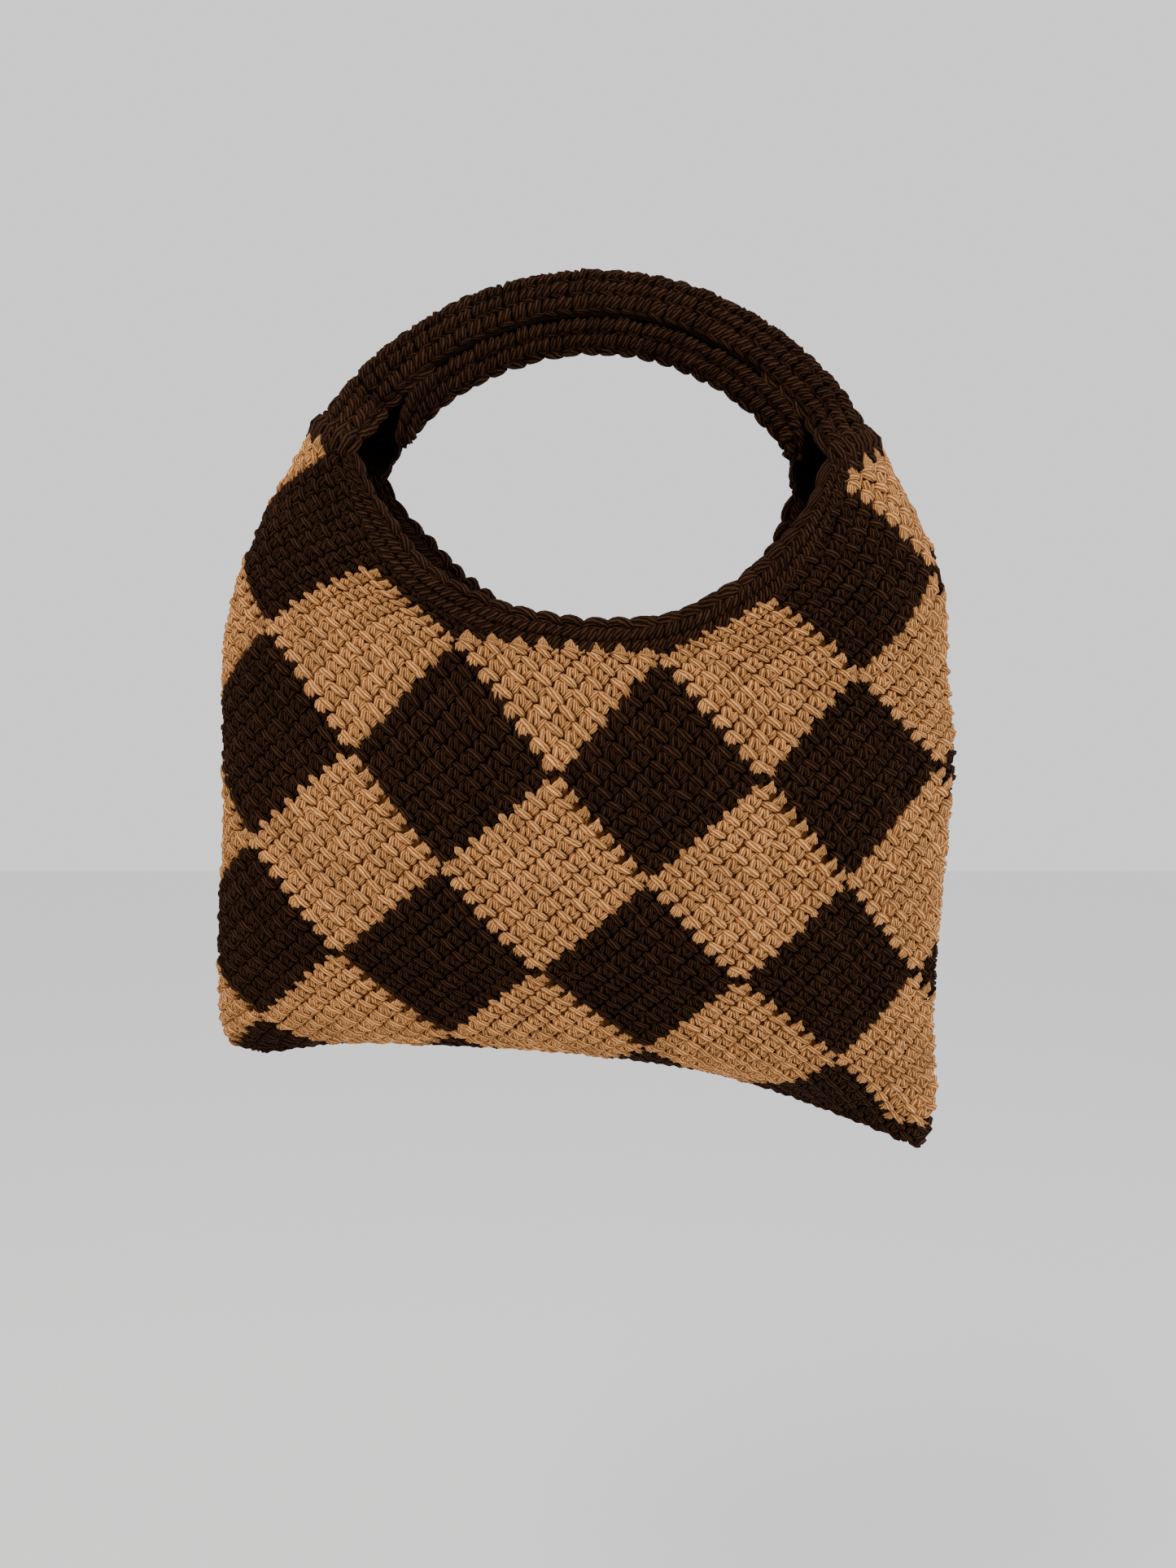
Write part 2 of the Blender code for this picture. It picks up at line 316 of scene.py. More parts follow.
def handle_cloth():
    """The strap's wall: x runs along the handle in metres and y round it, from -0.5 to 0.5."""
    left = shoulder_curve(-1)
    right = shoulder_curve(1)
    path, length = arch_path(left[ROUND_STEPS // 2], right[ROUND_STEPS // 2])
    ahead = unit_vectors(np.gradient(path, axis=0))
    height = (HANDLE_HEIGHT - 2 * WALL) / 2
    half_thickness = (HANDLE_THICKNESS - 2 * WALL) / 2
    girth = math.pi * (height + half_thickness)
    shares = np.linspace(-0.5, 0.5, ROUND_STEPS + 1)
    angle = 2 * math.pi * ((1 - HANDLE_SEAM_GAP / girth) * shares + SEAM_SHIFT)
    depth = height * (1 - np.cos(angle))
    out = half_thickness * np.sin(angle)
    lines = []
    for i, (point, tangent) in enumerate(zip(path, ahead)):
        share = i / STATIONS
        from_end = min(share, 1 - share)
        side = 1 if share <= 0.5 else -1
        rise = tangent * side * from_end * length
        closing = smooth_step(from_end / STRAP_CLOSED_SHARE)
        inward = np.array([tangent[2], 0.0, -tangent[0]])
        tube = point + inward * depth[:, None] + np.stack([out * 0, out, out * 0], axis=1)
        channel = (left if side == 1 else right) + rise
        reach, place, spread = LEFT_LIP if side == 1 else RIGHT_LIP
        lip = reach * math.exp(-(((from_end * length - place) / spread) ** 2))
        back_edge = (shares * 2).clip(0) ** 3
        lines.append(channel * (1 - closing) + tube * closing + inward * lip * back_edge[:, None])
    inner = np.array(lines).transpose(1, 0, 2)
    return Cloth(np.linspace(0, length, STATIONS + 1), shares, inner), length


handle, handle_length = handle_cloth()
print("handle", round(handle_length / MM), "mm along its fold")

# %% [markdown]
# ## Yarn
#
# Both yarns are matt, spun from several plies, with a little fuzz. What the eye reads as wool is mostly
# fine lines that run along each strand, broken up by fibres: painted shade darkens the colour between
# the plies, and a painted highlight lightens their tops. Each strand carries its own UV map, with its
# length in millimetres along u and one turn round it along v, so the lines follow every bend. `Wire`
# lets the shader's sums be written as plain Python expressions.

# %% Shader sums as expressions


class Wire:
    """A shader socket that takes part in sums."""

    def __init__(self, finish, socket):
        self.finish = finish
        self.socket = socket

    def sum(self, operation, first, second=0.0):
        return self.finish.node("ShaderNodeMath", {"operation": operation}, {0: first, 1: second})

    def __add__(self, other):
        return self.sum("ADD", self, other)

    def __sub__(self, other):
        return self.sum("SUBTRACT", self, other)

    def __rsub__(self, other):
        return self.sum("SUBTRACT", other, self)

    def __mul__(self, other):
        return self.sum("MULTIPLY", self, other)

    __radd__ = __add__
    __rmul__ = __mul__


class Finish:
    """A material being made. node() adds any node: its settings first, then its sockets."""

    def __init__(self, name, roughness):
        self.material = bpy.data.materials.new(name)
        self.material.use_nodes = True
        self.tree = self.material.node_tree
        self.shader = self.tree.nodes["Principled BSDF"]
        self.set(self.shader, {"Roughness": roughness, "Metallic": 0.0})

    def set(self, node, sockets):
        for key, value in sockets.items():
            if isinstance(value, Wire):
                self.tree.links.new(value.socket, node.inputs[key])
            else:
                node.inputs[key].default_value = value

    def node(self, kind, settings=None, sockets=None, output=0):
        node = self.tree.nodes.new(kind)
        for key, value in (settings or {}).items():
            setattr(node, key, value)
        self.set(node, sockets or {})
        return Wire(self, node.outputs[output])

    def clamped(self, value):
        return self.node("ShaderNodeClamp", None, {0: value})

    def mix(self, factor, first, second, blend="MIX"):
        """Colours go through the Mix node, which has its colour sockets at 6 and 7."""
        settings = {"data_type": "RGBA", "blend_type": blend}
        return self.node("ShaderNodeMix", settings, {0: factor, 6: first, 7: second}, output=2)


# %% The two yarns
PLY_MAP = "ply"
SHADE = "shade"
PLIES_ROUND = 6
PLY_TWIST_PER_MM = 0.16
PLY_WANDER = 0.7
PLY_SHARE = 0.52
FIBRE_SHARE = 0.48
FUZZ_SHARE = 0.22
# Low relief takes the painted shade colour, and relief past the top level a painted highlight.
GROOVE_LEVEL = 0.30
TOP_LEVEL = 0.62
LEVEL_CONTRAST = 2.6
SHADE_SPREAD = 0.34
YARN_RELIEF = 0.0008


def yarn_finish(name, painted_shade, body_colour, light, sheen, gloss):
    """Spun yarn: ply lines with painted shade in the grooves and a painted highlight on top, fibre
    streaks and a shade of its own for each stitch.
    """
    finish = Finish(name, 0.88)
    uv = finish.node("ShaderNodeUVMap", {"uv_map": PLY_MAP})
    along = finish.node("ShaderNodeSeparateXYZ", None, {0: uv})
    around = Wire(finish, along.socket.node.outputs[1])
    shade = finish.node("ShaderNodeAttribute", {"attribute_name": SHADE}, output=2)
    place = finish.node("ShaderNodeTexCoord", output=3)
    wander = finish.node("ShaderNodeTexNoise", None, {"Vector": place, "Scale": 420.0, "Detail": 2.0})
    turns = around * PLIES_ROUND + along * PLY_TWIST_PER_MM + shade * 3.0 + wander * PLY_WANDER
    wave = finish.node("ShaderNodeMath", {"operation": "SINE"}, {0: turns * (2 * math.pi)})
    ply = wave * 0.5 + 0.5
    long_grain = {0: along * 0.5 + shade * 40.0, 1: around * 16.0}
    stretch = finish.node("ShaderNodeCombineXYZ", None, long_grain)
    fibre = finish.node("ShaderNodeTexNoise", None, {"Vector": stretch, "Scale": 1.6, "Detail": 3.0})
    fuzz = finish.node("ShaderNodeTexNoise", None, {"Vector": place, "Scale": 2600.0, "Detail": 2.0})
    relief = ply * PLY_SHARE + fibre * FIBRE_SHARE + fuzz * FUZZ_SHARE
    out_of_groove = finish.clamped((relief - GROOVE_LEVEL) * LEVEL_CONTRAST)
    on_top = finish.clamped((relief - TOP_LEVEL) * LEVEL_CONTRAST)
    # Painted shade in the grooves between the plies, then a painted highlight on their tops.
    colour = finish.mix(out_of_groove, painted_shade, body_colour)
    colour = finish.mix(on_top, colour, light)
    own_shade = shade * SHADE_SPREAD + (1 - SHADE_SPREAD / 2)
    colour = finish.mix(1.0, colour, own_shade, "MULTIPLY")
    raised = {"Strength": 1.0, "Distance": YARN_RELIEF, "Height": relief}
    bump = finish.node("ShaderNodeBump", None, raised)
    finish.set(finish.shader, {
        "Base Color": colour,
        "Normal": bump,
        "Sheen Weight": sheen,
        "Sheen Roughness": 0.5,
        "Sheen Tint": light,
        "Specular IOR Level": gloss,
    })
    return finish.material


# Each yarn has its own colour, a darker one painted into the ply grooves as shade, and a lighter one
# painted on the ply tops as highlight, which also tints the sheen.
TAN = (0.57, 0.243, 0.074, 1.0)
TAN_PAINTED_SHADE = (0.155, 0.045, 0.008, 1.0)
TAN_PAINTED_HIGHLIGHT = (0.88, 0.47, 0.185, 1.0)
BROWN = (0.024, 0.0080, 0.0026, 1.0)
BROWN_PAINTED_SHADE = (0.0035, 0.0009, 0.0003, 1.0)
BROWN_PAINTED_HIGHLIGHT = (0.064, 0.029, 0.014, 1.0)
tan_yarn = yarn_finish("tan_yarn_plied", TAN_PAINTED_SHADE, TAN, TAN_PAINTED_HIGHLIGHT, 0.15, 0.12)
brown_yarn = yarn_finish("brown_yarn_plied", BROWN_PAINTED_SHADE, BROWN, BROWN_PAINTED_HIGHLIGHT, 0.03, 0.05)
print("yarns", tan_yarn.name, brown_yarn.name)

# %% The shadowed heart of the fabric
TAN_SHARE = "tan_share"
HEART_RELIEF = 0.0006
# The heart's colours are the two yarns made much darker: painted shade between the strands.
HEART_SHADE_BROWNS = ((0.004, 0.002, 0.001, 1.0), (0.014, 0.007, 0.004, 1.0))
HEART_SHADE_TANS = ((0.10, 0.032, 0.006, 1.0), (0.26, 0.10, 0.028, 1.0))


def heart_finish(name):
    """What shows between the strands: the same two yarns darkened as painted shade, tan where the chart
    says.
    """
    finish = Finish(name, 0.95)
    share = finish.node("ShaderNodeAttribute", {"attribute_name": TAN_SHARE}, output=2)
    place = finish.node("ShaderNodeTexCoord", output=3)
    grain = finish.node("ShaderNodeTexNoise", None, {"Vector": place, "Scale": 700.0, "Detail": 3.0})
    dark = finish.mix(grain, *HEART_SHADE_BROWNS)
    warm = finish.mix(grain, *HEART_SHADE_TANS)
    raised = {"Strength": 0.8, "Distance": HEART_RELIEF, "Height": grain}
    bump = finish.node("ShaderNodeBump", None, raised)
    finish.set(finish.shader, {
        "Base Color": finish.mix(share, dark, warm),
        "Normal": bump,
        "Specular IOR Level": 0.02,
    })
    return finish.material


heart = heart_finish("fabric_heart")
print("heart", heart.name)

# %% [markdown]
# ## Strands and stitches
#
# A stitch is a few short bends of yarn. `smooth_path` puts a curve through a handful of points, and
# `stitch_mesh` sweeps a thin closed tube along each one. The numbers are millimetres: x along the row,
# y up the rows, and z out of the fabric. The ends of every strand dive into the fabric, as they do in
# crochet, so no cut end ever shows.

# %% Tubes of yarn


def smooth_path(points, rings):
    """Even points on a curve through the given ones."""
    points = np.array(points, float)
    ends = np.concatenate([[2 * points[0] - points[1]], points, [2 * points[-1] - points[-2]]])
    path = []
    for t in np.linspace(0, len(points) - 1, rings):
        i = min(int(t), len(points) - 2)
        f = t - i
        a, b, c, d = ends[i:i + 4]
        path.append(b + 0.5 * f * (c - a + f * (2 * a - 5 * b + 4 * c - d + f * (3 * (b - c) + d - a))))
    return np.array(path)


def stitch_mesh(name, strands):
    """Each strand is (points, radius, sides, rings, radius share at the ends), in millimetres."""
    verts = []
    faces = []
    uvs = []
    for points, radius, sides, rings, end_share in strands:
        path = smooth_path(points, rings)
        ahead = unit_vectors(np.gradient(path, axis=0))
        side = unit_vectors(np.cross(ahead, (0.0, 0.0, 1.0)))
        top = np.cross(side, ahead)
        run = np.concatenate([[0], np.cumsum(np.linalg.norm(np.diff(path, axis=0), axis=1))])
        first = len(verts)
        for i in range(rings):
            t = abs(2 * i / (rings - 1) - 1)
            r = radius * (1 - (1 - end_share) * t**2.5)
            for j in range(sides):
                angle = 2 * math.pi * j / sides
                spot = path[i] + r * (math.cos(angle) * side[i] + math.sin(angle) * top[i])
                verts.append(spot * MM)
        for i in range(rings - 1):
            for j in range(sides):
                k = (j + 1) % sides
                ring = first + i * sides
                faces.append((ring + j, ring + sides + j, ring + sides + k, ring + k))
                uvs += [(run[i], j / sides), (run[i + 1], j / sides)]
                uvs += [(run[i + 1], (j + 1) / sides), (run[i], (j + 1) / sides)]
        last = first + (rings - 1) * sides
        faces.append(tuple(range(first, first + sides)))
        faces.append(tuple(range(last + sides - 1, last - 1, -1)))
        uvs += [(0, j / sides) for j in range(sides)]
        uvs += [(run[-1], j / sides) for j in range(sides - 1, -1, -1)]
    mesh = bpy.data.meshes.new(name)
    mesh.from_pydata([tuple(v) for v in verts], [], faces)
    layer = mesh.uv_layers.new(name=PLY_MAP)
    layer.data.foreach_set("uv", np.array(uvs, dtype=np.float32).ravel())
    mesh.shade_smooth()
    stitch = bpy.data.objects.new(name, mesh)
    print(name, "has", len(faces), "faces")
    return stitch


# %% The body's stitches
LONG_LEG = (
    [(-3.4, 1.8, -2.3), (-1.9, 1.0, 0.0), (0.1, 0.0, 0.35), (1.9, -1.0, 0.0), (3.4, -1.8, -2.3)],
    1.36, 6, 5, 0.5,
)
SHORT_LEG = ([(5.7, 2.6, -2.1), (5.0, 1.8, -0.3), (4.0, 0.6, -0.3), (3.2, -0.6, -2.0)], 1.25, 4, 4, 0.7)
NUB_LEFT = ([(1.1, 0.5, -2.1), (0.4, 1.9, -0.2), (0.6, 3.4, -0.2), (1.6, 4.6, -2.1)], 1.22, 5, 4, 0.7)
NUB_RIGHT = ([(2.4, 0.5, -2.1), (2.9, 1.8, 0.0), (2.7, 3.3, -0.2), (1.8, 4.5, -2.1)], 1.25, 5, 4, 0.7)
LEFT_TOOTH = (
    ([(-1.6, 0.9, 0.2), (-2.9, 1.9, 0.8), (-4.0, 3.5, 0.7)], 0.95, 5, 4, 0.2),
    ([(-0.9, 1.6, -0.6), (-2.1, 2.6, 0.4), (-3.9, 3.6, 0.6)], 0.75, 5, 4, 0.25),
)
RIGHT_TOOTH = (
    ([(0.2, 0.4, -0.2), (1.0, 1.5, 0.2), (2.1, 3.0, 0.3)], 1.05, 5, 4, 0.45),
    ([(1.6, 0.0, 0.2), (2.2, 2.0, 0.6), (3.3, 5.2, 0.7)], 0.8, 5, 4, 0.12),
    ([(3.0, -0.6, 0.0), (3.2, 1.9, 0.6), (3.5, 5.4, 0.7)], 0.75, 5, 4, 0.12),
    ([(5.0, 0.4, -1.2), (4.3, 1.4, 0.0), (3.5, 3.2, 0.3)], 0.95, 5, 4, 0.35),
)
MOUTH_TOOTH = (
    ([(-2.5, 1.6, 0.0), (-1.5, 3.4, 0.8), (-0.4, 6.0, 0.7)], 0.75, 5, 4, 0.35),
    ([(-0.9, 1.8, 0.4), (-0.6, 3.7, 1.0), (-0.1, 6.5, 0.8)], 0.8, 5, 4, 0.35),
    ([(0.8, 1.8, 0.4), (0.5, 3.7, 1.0), (0.0, 6.5, 0.8)], 0.8, 5, 4, 0.35),
    ([(2.4, 1.4, 0.0), (1.4, 3.2, 0.8), (0.3, 5.9, 0.7)], 0.75, 5, 4, 0.35),
    ([(-3.9, 2.1, -0.8), (-1.2, 2.2, 0.8), (1.4, 1.7, 0.8), (4.1, 0.8, -0.8)], 0.95, 5, 4, 0.6),
)
FAN = (
    ([(-2.4, 1.0, -0.2), (-3.4, -0.4, 0.4), (-3.6, -2.2, -0.9)], 1.0, 5, 4, 0.75),
    ([(-1.9, 0.6, 0.0), (-2.3, -1.0, 0.7), (-2.4, -3.0, -0.9)], 1.05, 5, 4, 0.75),
    ([(-1.0, 0.2, -0.2), (-1.0, -1.2, 0.5), (-1.0, -2.9, -1.0)], 1.0, 5, 4, 0.75),
)
FRAY = (
    ([(0.8, -0.5, 0.3), (2.5, -1.7, 0.7), (3.9, -2.9, -0.5)], 1.15, 5, 4, 0.4),
    ([(1.0, 0.5, 0.4), (3.2, -0.7, 0.9), (5.0, -2.1, 0.5)], 0.42, 4, 4, 0.3),
    ([(1.4, -0.6, 0.8), (3.0, -1.9, 1.3), (4.5, -3.5, 0.7)], 0.42, 4, 4, 0.3),
    ([(1.0, -1.0, 0.4), (2.4, -2.3, 0.9), (3.4, -3.9, 0.4)], 0.42, 4, 4, 0.3),
)
body_stitch = stitch_mesh("body_stitch", (LONG_LEG, SHORT_LEG, NUB_LEFT, NUB_RIGHT))
edge_stitch = stitch_mesh("edge_stitch", (LONG_LEG, *RIGHT_TOOTH))
left_tooth = stitch_mesh("left_tooth", LEFT_TOOTH)
mouth_tooth = stitch_mesh("mouth_tooth", MOUTH_TOOTH)
fan = stitch_mesh("fan", FAN)
fray = stitch_mesh("fray", FRAY)
inner_stitch = stitch_mesh("inner_stitch", (
    ([(-3.8, 2.6, -1.8), (-1.6, 1.1, 0.0), (1.6, -1.1, 0.0), (3.8, -2.6, -1.8)], 1.7, 4, 4, 0.6),
    ([(1.9, -0.6, -1.6), (1.9, 1.0, -0.1), (1.5, 3.2, -0.1), (1.0, 5.2, -1.6)], 1.7, 4, 4, 0.6),
))

# %% [markdown]
# ## Laying the stitches
#
# One small Geometry Nodes tree lays every kind of stitch: it puts a copy on each place, sways and
# swells the copies a little so that no two look stamped, gives each a shade of its own, and makes
# them one plain mesh. The places carry two attributes, their turn and their span.

# %% The tree that lays stitches
TURN = "turn"
SPAN = "span"


def lay_tree():
    tree = bpy.data.node_groups.new("lay_stitches", "GeometryNodeTree")
    sockets = (
        ("Places", "NodeSocketGeometry"), ("Stitch", "NodeSocketObject"), ("Sway", "NodeSocketFloat"),
        ("Swell", "NodeSocketFloat"), ("Seed", "NodeSocketInt"), ("Yarn", "NodeSocketMaterial"),
    )
    for name, kind in sockets:
        tree.interface.new_socket(name, in_out="INPUT", socket_type=kind)
    tree.interface.new_socket("Fabric", in_out="OUTPUT", socket_type="NodeSocketGeometry")

    def add(kind, settings=None, values=None):
        node = tree.nodes.new(kind)
        for key, value in (settings or {}).items():
            setattr(node, key, value)
        for key, value in (values or {}).items():
            if isinstance(value, bpy.types.NodeSocket):
                tree.links.new(value, node.inputs[key])
            else:
                node.inputs[key].default_value = value
        return node

    given = add("NodeGroupInput").outputs
    stitch = add("GeometryNodeObjectInfo", None, {"Object": given["Stitch"]})
    turn = add("GeometryNodeInputNamedAttribute", {"data_type": "FLOAT_VECTOR"}, {"Name": TURN})
    span = add("GeometryNodeInputNamedAttribute", {"data_type": "FLOAT_VECTOR"}, {"Name": SPAN})
    # Random Value has a vector's bounds at sockets 0 and 1, a number's at 2 and 3, and its seed at 8.
    chance = {"data_type": "FLOAT_VECTOR"}
    either_way = {0: (-1, -1, -1), 1: (1, 1, 1), 8: given["Seed"]}
    sway = add("FunctionNodeRandomValue", chance, either_way)
    swell = add("FunctionNodeRandomValue", chance, either_way)
    other_seed = add("ShaderNodeMath", None, {0: given["Seed"], 1: 1.0})
    tree.links.new(other_seed.outputs[0], swell.inputs[8])
    scale = {"operation": "SCALE"}
    swayed = add("ShaderNodeVectorMath", scale, {0: sway.outputs[0], 3: given["Sway"]})
    turned = add("ShaderNodeVectorMath", None, {0: turn.outputs[0], 1: swayed.outputs[0]})
    swelled = add("ShaderNodeVectorMath", scale, {0: swell.outputs[0], 3: given["Swell"]})
    grown = add("ShaderNodeVectorMath", None, {0: swelled.outputs[0], 1: (1, 1, 1)})
    both = {0: span.outputs[0], 1: grown.outputs[0]}
    spanned = add("ShaderNodeVectorMath", {"operation": "MULTIPLY"}, both)
    laid = add("GeometryNodeInstanceOnPoints", None, {
        "Points": given["Places"],
        "Instance": stitch.outputs["Geometry"],
        "Rotation": turned.outputs[0],
        "Scale": spanned.outputs[0],
    })
    shade = add("FunctionNodeRandomValue", {"data_type": "FLOAT"}, {2: 0.0, 3: 1.0, 8: given["Seed"]})
    shaded = add(
        "GeometryNodeStoreNamedAttribute",
        {"data_type": "FLOAT", "domain": "INSTANCE"},
        {"Geometry": laid.outputs[0], "Name": SHADE, "Value": shade.outputs[1]},
    )
    real = add("GeometryNodeRealizeInstances", None, {0: shaded.outputs[0]})
    dyed = {"Geometry": real.outputs[0], "Material": given["Yarn"]}
    done = add("GeometryNodeSetMaterial", None, dyed)
    add("NodeGroupOutput", None, {0: done.outputs[0]})
    return tree


LAY_TREE = lay_tree()
LAY_INPUTS = {
    item.name: item.identifier for item in LAY_TREE.interface.items_tree if item.in_out == "INPUT"
}
print("inputs", LAY_INPUTS)

# %% Lay, then wrap


SWAY = 0.12
SWELL = 0.09


def lay(name, stitch, places, yarn, seed, turn=(0, 0, 0), span=(1, 1, 1), sway=SWAY, swell=SWELL):
    """Flat work: a copy of the stitch on each place, made one mesh. Places are in metres."""
    mesh = bpy.data.meshes.new(name)
    mesh.from_pydata([tuple(p) for p in places], [], [])
    for key, value in ((TURN, turn), (SPAN, span)):
        layer = mesh.attributes.new(key, "FLOAT_VECTOR", "POINT")
        layer.data.foreach_set("vector", np.broadcast_to(value, (len(places), 3)).astype(float).ravel())
    work = bpy.data.objects.new(name, mesh)
    bpy.context.scene.collection.objects.link(work)
    layer = work.modifiers.new("lay", "NODES")
    layer.node_group = LAY_TREE
    given = {"Stitch": stitch, "Sway": sway, "Swell": swell, "Seed": seed, "Yarn": yarn}
    for key, value in given.items():
        layer[LAY_INPUTS[key]] = value
    graph = bpy.context.evaluated_depsgraph_get()
    plain = bpy.data.meshes.new_from_object(work.evaluated_get(graph), depsgraph=graph)
    work.modifiers.remove(layer)
    work.data = plain
    plain.name = name
    return work


def flat_places(work):
    flat = np.empty(len(work.data.vertices) * 3)
    work.data.vertices.foreach_get("co", flat)
    return flat.reshape(-1, 3)


def put_places(work, places):
    work.data.vertices.foreach_set("co", places.ravel())
    work.data.update()
    triangles = sum(len(face.vertices) - 2 for face in work.data.polygons)
    print(work.name, triangles, "triangles")


def finish_piece(work, slot, *nodes):
    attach(work, "root")
    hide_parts(*nodes)


# %% [markdown]
# ## The diamond chart
#
# The chart repeats every 8 units and 16 rows: the tan part of a row grows by one unit a row to the full
# width, and shrinks again. The whole fabric leans, because a crocheted round always twists a little, so
# the columns of the chart are turned by about one unit on the walls.

# %% The chart
DIAMOND_UNITS = 8
DIAMOND_ROWS = 16
LEAN_ROWS = (0, 8, 16, 24, 32, 40, 48, 56)
LEAN_UNITS = (1.0, 1.0, 1.3, 1.2, 1.0, 1.0, 1.0, 0.5)


def is_tan(unit, row):
    """True where the chart has tan. A unit's middle is at whole columns in odd rows."""
    half_period = DIAMOND_ROWS / 2
    tan_units = half_period - np.abs(row % DIAMOND_ROWS - half_period)
    from_column = np.abs((unit + DIAMOND_UNITS / 2) % DIAMOND_UNITS - DIAMOND_UNITS / 2)
    return from_column < tan_units / 2


def lean(row):
    return np.interp(row, LEAN_ROWS, LEAN_UNITS)


def wrap_on_body(flat):
    """Flat body work to its place. Its x is columns times the unit's pitch."""
    row = flat[:, 1] / ROW_PITCH
    unit = flat[:, 0] / UNIT_PITCH - lean(row)
    unit = (unit + UNITS_ROUND / 4) % UNITS_ROUND - UNITS_ROUND / 4
    return body.wrap(unit, row, flat[:, 2])


# %% Where the stitches lie
LAST_FULL_DIAMOND_ROW = 48
LAST_TAN_ROW = 55
# The front's right slope: where it stands highest, how widely, and by how many rows.
RISE_UNIT = 7.5
RISE_SPREAD = 3.2
RISE_ROWS = 1.5
EDGE_UNITS = 0.15
EDGE_ROWS_OVER = 0.4
MIDDLE_HALF_UNITS = DIAMOND_UNITS / 2 + 0.6
DARK_TIP_ROWS = 2
DARK_TIP_UNITS = 2.5


def rise(unit):
    """How much of a full rise the front's right slope has at a fabric column, from 0 to 1."""
    return np.exp(-(((unit - RISE_UNIT) / RISE_SPREAD) ** 2))


def worked(units, rows):
    """True where the pouch has a unit: its mouth slopes, and stands higher on the front's right."""
    walls = units + EDGE_UNITS - lean(rows)
    return rows <= mouth_row(walls) + RISE_ROWS * rise(walls)


fabric = []
for row in range(-1, ROWS + 1):
    offset = 0.5 if row % 2 == 0 else 0.0
    for column_number in range(UNITS_ROUND):
        unit = column_number + offset - UNITS_ROUND / 4
        if worked(unit, row):
            fabric.append((unit, row))
fabric = np.array(fabric)


def worked_tan(units, rows):
    """The chart, but dark where the band along the mouth begins and at the hanging corner's tip."""
    walls = units - lean(rows)
    from_middle = np.abs((walls + UNITS_ROUND / 4) % (UNITS_ROUND / 2) - UNITS_ROUND / 4)
    by_the_mouth = (rows > LAST_FULL_DIAMOND_ROW) & (from_middle < MOUTH_REACH_UNITS)
    slope_top = mouth_row(walls) + EDGE_ROWS_OVER + RISE_ROWS * rise(walls)
    top = np.where(np.abs(units) < MIDDLE_HALF_UNITS, MOUTH_ROW, slope_top)
    dark_tip = (rows < DARK_TIP_ROWS) & (np.abs(walls - UNITS_ROUND / 4) < DARK_TIP_UNITS)
    seen = (rows <= top) & (rows <= LAST_TAN_ROW)
    return is_tan(units, rows) & seen & ~by_the_mouth & ~dark_tip


tan_here = worked_tan(fabric[:, 0], fabric[:, 1])
tan_up_left = worked_tan(fabric[:, 0] - 0.5, fabric[:, 1] + 1)
tan_up_right = worked_tan(fabric[:, 0] + 0.5, fabric[:, 1] + 1)
tan_down_left = worked_tan(fabric[:, 0] - 0.5, fabric[:, 1] - 1)
tan_down_right = worked_tan(fabric[:, 0] + 0.5, fabric[:, 1] - 1)
chart_up_left = is_tan(fabric[:, 0] - 0.5, fabric[:, 1] + 1)
chart_up_right = is_tan(fabric[:, 0] + 0.5, fabric[:, 1] + 1)
at_mouth = (chart_up_left | chart_up_right) & ~tan_up_left & ~tan_up_right
low = fabric[:, 1] <= LAST_FULL_DIAMOND_ROW
upper_right_edge = tan_here & ~tan_up_right & ~at_mouth
from_left_fold = fabric[:, 0] - lean(fabric[:, 1]) + UNITS_ROUND / 4
on_front = from_left_fold % UNITS_ROUND < UNITS_ROUND / 2
print(len(fabric), "units,", int(tan_here.sum()), "of them tan")

# %% [markdown]
# ## The body
#
# Front and back are separate pieces, and so are the two yarns, which keeps each mesh a handy size and
# lets each yarn be dyed anew. Where the colour changes, the strands that the next unit would hide come
# into view: the top loops are drawn up to points, and the legs spread below in small fans.

# %% The outside of the body
UNIT_MIDDLE = np.array([-0.0012, -0.0008])
BODY_SEED = 10
everywhere = np.full(len(fabric), True)
pieces = (
    ("tan", tan_yarn, tan_here, body_stitch, ~upper_right_edge, "stitches"),
    ("tan", tan_yarn, tan_here, edge_stitch, upper_right_edge, "edge_stitches"),
    ("tan", tan_yarn, tan_here, left_tooth, ~tan_up_left & ~at_mouth & low, "left_teeth"),
    ("tan", tan_yarn, tan_here, mouth_tooth, at_mouth, "mouth_teeth"),
    ("tan", tan_yarn, tan_here, fan, ~tan_down_left, "fans"),
    ("tan", tan_yarn, tan_here, fray, ~tan_down_right, "frayed_ends"),
    ("brown", brown_yarn, ~tan_here, body_stitch, everywhere, "stitches"),
)
seed = BODY_SEED
for side_name, side in (("front", on_front), ("back", ~on_front)):
    for yarn_name, yarn, coloured, stitch, chosen, suffix in pieces:
        chosen = side & coloured & chosen
        spots = np.zeros((int(chosen.sum()), 3))
        spots[:, :2] = fabric[chosen] * (UNIT_PITCH, ROW_PITCH) + UNIT_MIDDLE
        seed += 2
        work = lay(f"{side_name}_{yarn_name}_{suffix}", stitch, spots, yarn, seed)
        put_places(work, wrap_on_body(flat_places(work)))
        finish_piece(work, yarn_name + "_yarn", "pouch")

